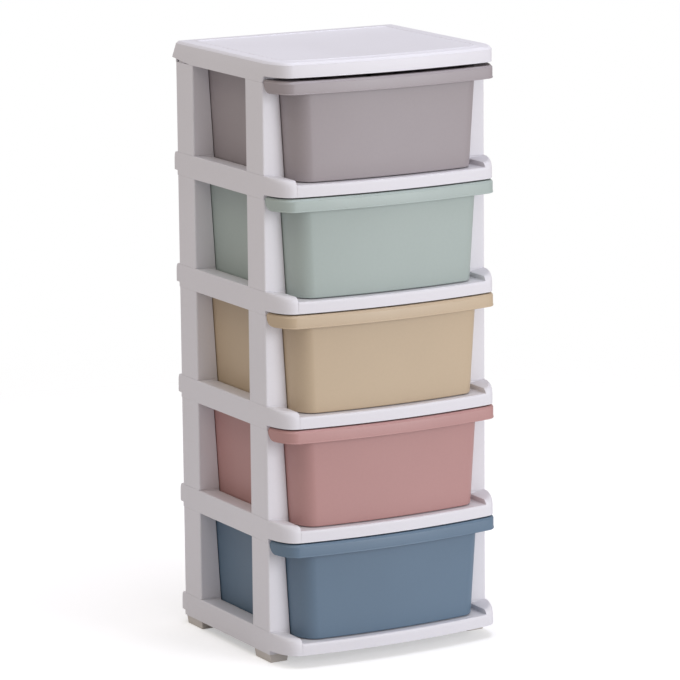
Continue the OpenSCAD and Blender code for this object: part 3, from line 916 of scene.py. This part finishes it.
# ---- Edge beads ---------------------------------------------------------------------------------
# Fine rounded beads that stiffen the mouldings: along the lower front edge of every board, along
# the ledge in front of every drawer, and round the lid at the foot of its slope. Geometry nodes
# sweep them.

BEAD_R, BEAD_SIDES = 0.6, 8
LEDGE_BEAD_R, LEDGE_BEAD_TURN, LEDGE_PLACES = 0.5, math.radians(60), 40
SHOULDER_BEAD_R = 0.45

bead_tree, given = new_tree("swept_bead", Path="Geometry", Radius="Float", Finish="Material")
profile = node(
    bead_tree, "GeometryNodeCurvePrimitiveCircle", Resolution=BEAD_SIDES, Radius=given["Radius"]
).outputs[0]
path = node(bead_tree, "GeometryNodeMeshToCurve", Mesh=given["Path"]).outputs[0]
bead = node(
    bead_tree, "GeometryNodeCurveToMesh", Curve=path, Profile_Curve=profile, Fill_Caps=True
)
finish_tree(bead_tree, bead.outputs[0], given["Finish"])


def swept_bead(paths, radius):
    """Beads along open or closed paths, given as (points in millimetres, closed) pairs."""
    points, edges = [], []
    for path_points, closed in paths:
        first, count = len(points), len(path_points)
        points += [(x * MM, (y + FRONT_Y) * MM, z * MM) for x, y, z in path_points]
        edges += [(first + i, first + i + 1) for i in range(count - 1)]
        if closed:
            edges.append((first + count - 1, first))
    data = bpy.data.meshes.new("bead_paths")
    data.from_pydata(points, edges, [])
    return grown(bead_tree, path=data, Radius=radius * MM, Finish=frame_white)


def front_edge(z):
    """Path along the lower front edge of a board, from the left side to the right."""
    ring = around(HALF_W - BEAD_R, BOW_REACH + APRON_PROUD - BEAD_R / 2, FRAME_D, REAR_R, z)
    return [point for point in ring if point[1] < -BEAD_R]


def ledge_edge(z):
    """Path along the rounded ledge in front of a drawer, from one cheek to the other."""
    back, rise = LEDGE_R * (1 - math.cos(LEDGE_BEAD_TURN)), LEDGE_R * math.sin(LEDGE_BEAD_TURN)
    places = [MOUTH_HALF * (2 * i / LEDGE_PLACES - 1) for i in range(LEDGE_PLACES + 1)]
    return [(x, back - bow(x, BOW_REACH + APRON_PROUD), z - LEDGE_R + rise) for x in places]


board_edges = [FOOT_H + BOARD_H - DOME_H + level * PITCH for level in range(LEVELS)]
lower_edges = board_edges + [TOP_Z + TOP_APRON_LIFT]
shoulder_path = lid_ring(SHOULDER_BEAD_R, TOP_Z + shoulder)
data = joined("edge_beads", [
    swept_bead([(front_edge(z + BEAD_R), False) for z in lower_edges], BEAD_R),
    swept_bead([(ledge_edge(z + DOME_H - FLOOR_DROP), False) for z in board_edges], LEDGE_BEAD_R),
    swept_bead([(shoulder_path, True)], SHOULDER_BEAD_R),
])
moulding("edge_beads", data, frame_white, "frame", None)


# ---- Drawers ------------------------------------------------------------------------------------
# Five drawers in soft colours, each one moulding: a tub that widens upwards, with a bowed front,
# and a lip over the whole front that hangs down like a visor and is the handle.

DRAWER_WALL = 2.2
FLOOR_CLEAR, BACK_CLEAR = 0.3, 1.0
FRONT_DRAFT, BACK_DRAFT = math.radians(2.5), math.radians(1.2)
FRONT_SETBACK = 12.0
DRAWER_CORNER, DRAWER_REAR_R, DRAWER_BOTTOM_R, DRAWER_INNER_R = 24.0, 14.0, 1.8, 1.2
LIP_OVER, LIP_DOWN, LIP_UP = 4.0, 13.5, 4.5
LIP_END_GAP, LIP_END_R = 3.5, 14.0
LIP_REACH = BOW_REACH + LIP_OVER
DRAWER_BOTTOM = RUNNER_H - FLOOR_DROP + FLOOR_CLEAR
DRAWER_TOP = POST_H + LIP_UP
LIP_LOW = POST_H - LIP_DOWN
WEB_Z = DRAWER_TOP - DRAWER_WALL
FINE_END, FINE_STEPS, COARSE_STEPS = 24, 14, 18  # the first in degrees
TUB_SIDE_PLACES, TUB_REAR_PLACES, TUB_REAR_STEPS = 6, 8, 12
BOTTOM_TURN = 15  # degrees
BOW_PLACES = 40


def drawer_reach(z):
    """How far the front of a drawer's tub reaches ahead of the posts at a height."""
    return BOW_REACH - FRONT_SETBACK + (z - DRAWER_BOTTOM) * math.tan(FRONT_DRAFT)


def drawer_rear(z):
    """Place of the back of a drawer at a height; it leans backwards."""
    return FRAME_D - REAR_STOP - BACK_CLEAR + (z - DRAWER_BOTTOM) * math.tan(BACK_DRAFT)


# Turns of a drawer's front corner, close together near the end of the lip
end_turn = math.degrees(math.asin(LIP_END_GAP / bow(HALF_W, LIP_REACH)))
fine_turns = [end_turn + (FINE_END - end_turn) * i / FINE_STEPS for i in range(FINE_STEPS + 1)]
coarse_turns = [FINE_END + (90 - FINE_END) * i / COARSE_STEPS for i in range(1, COARSE_STEPS + 1)]
corner_turns = [0.0] + fine_turns + coarse_turns


def front_points(half, reach, corner):
    """Points of a front edge from left to right, for every corner turn and place on the bow."""
    side = []
    for turn in corner_turns:
        x = half - corner + corner * math.cos(math.radians(turn))
        side.append((x, -bow(x, reach) * math.sin(math.radians(turn))))
    middle = [(half - corner) * (2 * i / BOW_PLACES - 1) for i in range(1, BOW_PLACES)]
    return [(-x, y) for x, y in side] + [(x, -bow(x, reach)) for x in middle] + side[::-1]


def tub_ring(z, inset):
    """Closed outline of a drawer's tub at a height, moved in by the inset."""
    half, reach = drawer_half(z) - inset, drawer_reach(z) - inset
    rear, r = drawer_rear(z) - inset, DRAWER_REAR_R - inset
    plan = front_points(half, reach, DRAWER_CORNER - inset)
    side, back = TUB_SIDE_PLACES, TUB_REAR_PLACES
    plan += [(half, (rear - r) * i / side) for i in range(1, side)]
    plan += arc(half - r, rear - r, r, 0, 90, TUB_REAR_STEPS)
    plan += [((half - r) * (1 - 2 * i / back), rear) for i in range(1, back)]
    plan += arc(r - half, rear - r, r, 90, 180, TUB_REAR_STEPS)
    plan += [(-half, (rear - r) * (1 - i / side)) for i in range(1, side)]
    return [(x, y, z) for x, y in plan]


def rounded_bottom(inset):
    """Rings from the flat floor up to the wall, on the outside or on the inside of the drawer."""
    r = DRAWER_INNER_R if inset else DRAWER_BOTTOM_R
    rings = []
    for angle in range(0, 90 + BOTTOM_TURN, BOTTOM_TURN):
        rise, back = 1 - math.cos(math.radians(angle)), 1 - math.sin(math.radians(angle))
        rings.append(tub_ring(DRAWER_BOTTOM + inset + r * rise, inset + r * back))
    return rings


drawer = Shell()
RIM_R = 0.8
WALL_LEVELS = (20, 50, 80, 105)
outside = rounded_bottom(0) + [tub_ring(z, 0) for z in WALL_LEVELS + (WEB_Z,)]
outside_rows = drawer.grid(outside, closed=True)
drawer.faces.append(outside_rows[0][::-1])
inside = [tub_ring(DRAWER_TOP, DRAWER_WALL - RIM_R)]
inside.append(tub_ring(DRAWER_TOP - 0.25 * RIM_R, DRAWER_WALL - 0.4 * RIM_R))
inside += [tub_ring(z, DRAWER_WALL) for z in (DRAWER_TOP - RIM_R,) + WALL_LEVELS[::-1]]
inside_rows = drawer.grid(inside + rounded_bottom(DRAWER_WALL)[::-1], closed=True)
drawer.faces.append(inside_rows[-1])

# The rim: rounded beside and behind, and running on into the lip along the front
rim_outer = drawer.add(tub_ring(DRAWER_TOP, 0))
rim_shoulder = drawer.add(tub_ring(DRAWER_TOP - RIM_R, 0))
rim_top = drawer.add(tub_ring(DRAWER_TOP, RIM_R))
FIRST_LIP, LAST_LIP = 1, 2 * len(corner_turns) + BOW_PLACES - 3
rim_count = len(rim_outer)
for i in range(rim_count):
    j = (i + 1) % rim_count
    steps = [outside_rows[-1], rim_shoulder, rim_top, inside_rows[0]]
    if FIRST_LIP <= i < LAST_LIP:
        steps = [rim_outer, inside_rows[0]]
    for low, high in zip(steps, steps[1:]):
        drawer.faces.append([low[i], low[j], high[j], high[i]])


def lip_lower_edge(y):
    """Height of the lower edge of the lip; it curves up near the ends."""
    from_end = -y - LIP_END_GAP
    if from_end >= LIP_END_R:
        return LIP_LOW
    return LIP_LOW + LIP_END_R - math.sqrt(max(0.0, LIP_END_R ** 2 - (LIP_END_R - from_end) ** 2))


def lip_ring(inset):
    """Plan of the lip, from its left end to its right end."""
    return front_points(HALF_W - inset, LIP_REACH - inset, CORNER_W)[FIRST_LIP : LAST_LIP + 1]


LIP_WEB_GAP = 1.2  # kept between the lower edge of the lip and the web over it, at the lip's ends


def lip_row(inset, above_low=None, below_top=None):
    """A row along the lip, at a height over its lower edge or under its top."""
    row = []
    for (x, y), (_, outer_y) in zip(lip_ring(inset), lip_ring(0)):
        if above_low is None:
            level = DRAWER_TOP - below_top
        else:
            level = min(lip_lower_edge(outer_y) + above_low, WEB_Z - LIP_WEB_GAP)
        row.append((x, y, level))
    return row


# From the underside of the web down the back of the lip, round its bead, up its face and over its
# band. The pairs are an inset and a height, under the top or over the lower edge.
LIP_FACE = 0.5
LIP_BAND_H, LIP_BAND_W = 3.2, 3.4
web_profile = [(DRAWER_WALL + 0.9, 2.2), (DRAWER_WALL + 0.25, 2.5), (DRAWER_WALL, 3.2)]
lip_rows = [lip_row(inset, below_top=drop) for inset, drop in web_profile]
lip_profile = [
    (DRAWER_WALL, 0.7), (DRAWER_WALL - 0.2, 0.2), (DRAWER_WALL - 0.7, 0),
    (0.7, 0), (0.2, 0.15), (0, 0.6), (0, 1.0), (0.2, 1.5), (LIP_FACE, 1.8),
]
lip_rows += [lip_row(inset, above_low=rise) for inset, rise in lip_profile]
band_profile = [
    (LIP_FACE, LIP_BAND_H + 0.6), (LIP_FACE + 0.15, LIP_BAND_H), (LIP_FACE + 0.5, LIP_BAND_H - 0.5),
    (LIP_BAND_W - 0.6, 0.55), (LIP_BAND_W, 0.15), (LIP_BAND_W + 0.8, 0),
]
lip_rows += [lip_row(inset, below_top=drop) for inset, drop in band_profile]
lip_chain = [outside_rows[-1][FIRST_LIP : LAST_LIP + 1]] + [drawer.add(row) for row in lip_rows]
lip_chain.append(rim_outer[FIRST_LIP : LAST_LIP + 1])
for low, high in zip(lip_chain, lip_chain[1:]):
    drawer.band(low, high, closed=False)
for end in (0, -1):
    drawer.faces.append([row[end] for row in lip_chain])

DRAWER_ROUGHNESS, DRAWER_GRAIN, DRAWER_GLOSS = 0.48, 1500, 0.8
DRAWER_FINISHES = [
    ("drawer_slate_blue", (0.107, 0.172, 0.246)),
    ("drawer_dusty_pink", (0.462, 0.246, 0.232)),
    ("drawer_sand", (0.530, 0.412, 0.278)),
    ("drawer_mint", (0.380, 0.445, 0.418)),
    ("drawer_taupe", (0.340, 0.300, 0.312)),
]
for tier, (finish, colour) in enumerate(DRAWER_FINISHES, 1):
    plastic = moulded_plastic(
        finish, colour, DRAWER_ROUGHNESS, DRAWER_GRAIN, gloss=DRAWER_GLOSS
    )
    name = f"drawer_{tier}_moulding"
    data = drawer.mesh(
        name,
        move=(0, FRONT_Y * MM, (FOOT_H + BOARD_H + (tier - 1) * PITCH) * MM),
    )
    moulding(name, data, plastic, f"drawer_{tier}", f"drawer_{tier}")


# ---- Bounds of the shown pieces -----------------------------------------------------------------

low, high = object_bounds()
